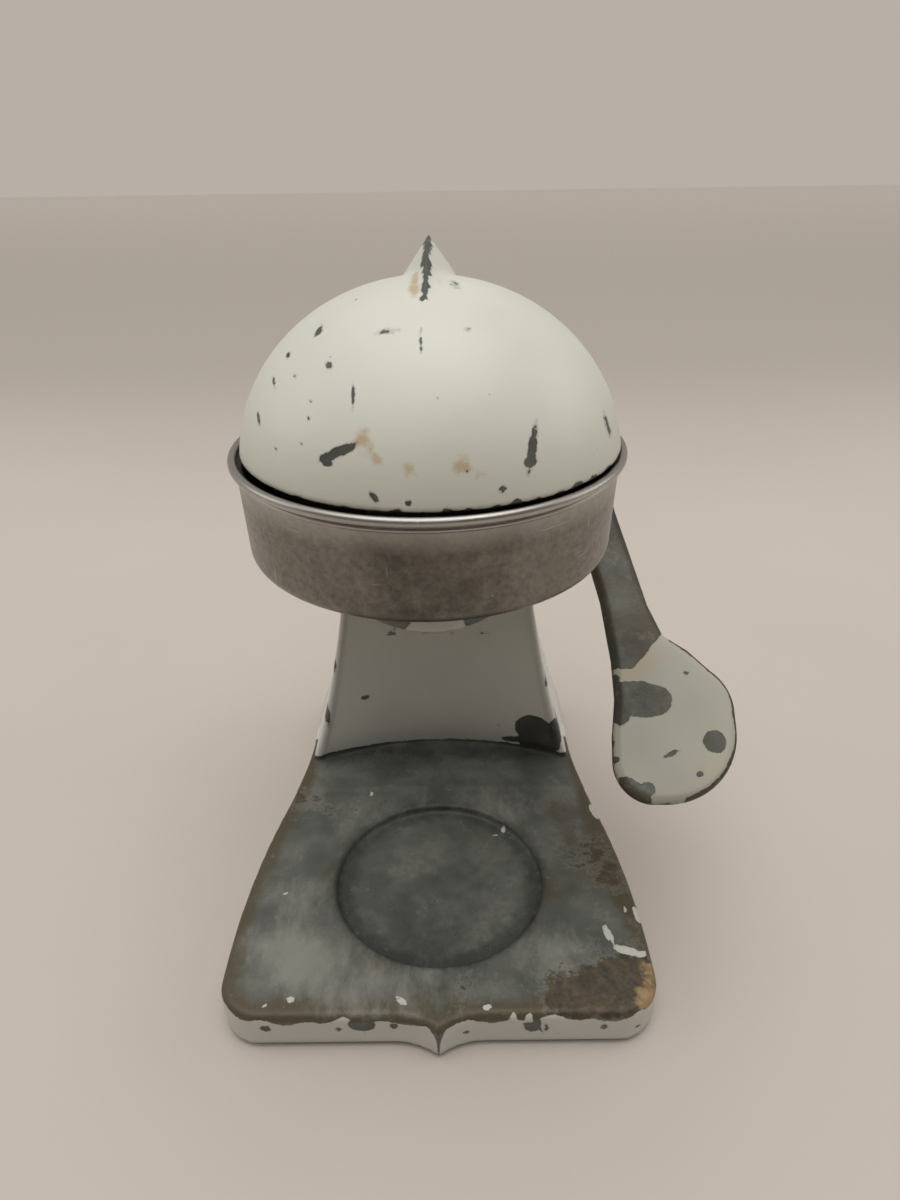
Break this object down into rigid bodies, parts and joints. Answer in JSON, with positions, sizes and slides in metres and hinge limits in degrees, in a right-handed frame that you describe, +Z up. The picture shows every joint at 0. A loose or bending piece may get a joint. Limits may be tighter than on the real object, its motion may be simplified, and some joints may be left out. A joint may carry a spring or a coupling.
{
  "type": "citrus press juicer",
  "caption": "Counter-top citrus press with a domed head lifted by a side lever, a rimmed juice bowl on a bracket, and a flared base with a round glass seat.",
  "frame": {"origin": "middle of the whole object's outline, on the table; the bowl and the glass seat are 12 mm to its left and 32 mm in front of it", "axes": "+Z up, -Y towards the user (the pointed prow), +X to the lever's side"},
  "size_m": [0.1547, 0.1728, 0.2116],
  "materials": {
    "enamelled_casting": "worn off-white enamel, rubbed through to mottled grey zinc on the base's top",
    "enamelled_cover": "worn off-white enamel on pressed steel",
    "enamelled_dome": "off-white enamel with a faint green-ivory tint and dark chips",
    "enamelled_lever": "off-white enamel on the spoon, bare dark zinc on the arm",
    "bowl_aluminium": "spun, dull and tarnished, with a brighter rolled rim",
    "strainer_aluminium": "spun, satin",
    "cup_aluminium": "pressed, satin",
    "post_steel": "drawn bar, lightly greased",
    "pinion_iron": "machined teeth, greased",
    "keeper_zinc": "bare die-cast zinc",
    "bush_bronze": "plain bearing bronze",
    "pins_steel": "bright steel gone dull",
    "screws": "nickel plate gone dull, with rust in the slots",
    "rubber_feet": "black moulded rubber",
    "fibre_washer": "red-brown vulcanised fibre"
  },
  "bodies": {
    "root": {"frame_casting": "enamelled_casting", "rear_cover": "enamelled_cover", "rear_cover_screws": "screws", "foot_front_left": "rubber_feet", "foot_front_right": "rubber_feet", "foot_rear_left": "rubber_feet", "foot_rear_right": "rubber_feet", "foot_screws": "screws", "juice_bowl": "bowl_aluminium", "strainer_cone": "strainer_aluminium", "shaft_bush_left": "bush_bronze", "shaft_bush_right": "bush_bronze", "post_keeper": "keeper_zinc", "post_keeper_screws": "screws"},
    "head": {"press_head": "enamelled_dome", "press_cup": "cup_aluminium", "press_cup_screw": "screws", "rack_post": "post_steel", "head_pins": "pins_steel", "post_stop_pin": "pins_steel"},
    "lever": {"lever_handle": "enamelled_lever", "pinion_shaft": "post_steel", "pinion_gear": "pinion_iron", "pinion_pin": "pins_steel", "handle_washer": "screws", "handle_screw": "screws", "thrust_washer": "fibre_washer", "retaining_ring": "pins_steel"}
  },
  "joints": [
    {"name": "lever_turn", "type": "hinge", "parent": "root", "child": "lever", "pos_m": [-0.012, 0.0595, 0.1553], "axis": [-1, 0, 0], "range_deg": [0, 165]},
    {"name": "head_lift", "type": "slide", "parent": "root", "child": "head", "axis": [0, 0, 1], "range_m": [0, 0.0433]}
  ],
  "couplings": [
    {"joint": "head_lift", "follows": "lever_turn", "m_per_rad": 0.015}
  ]
}
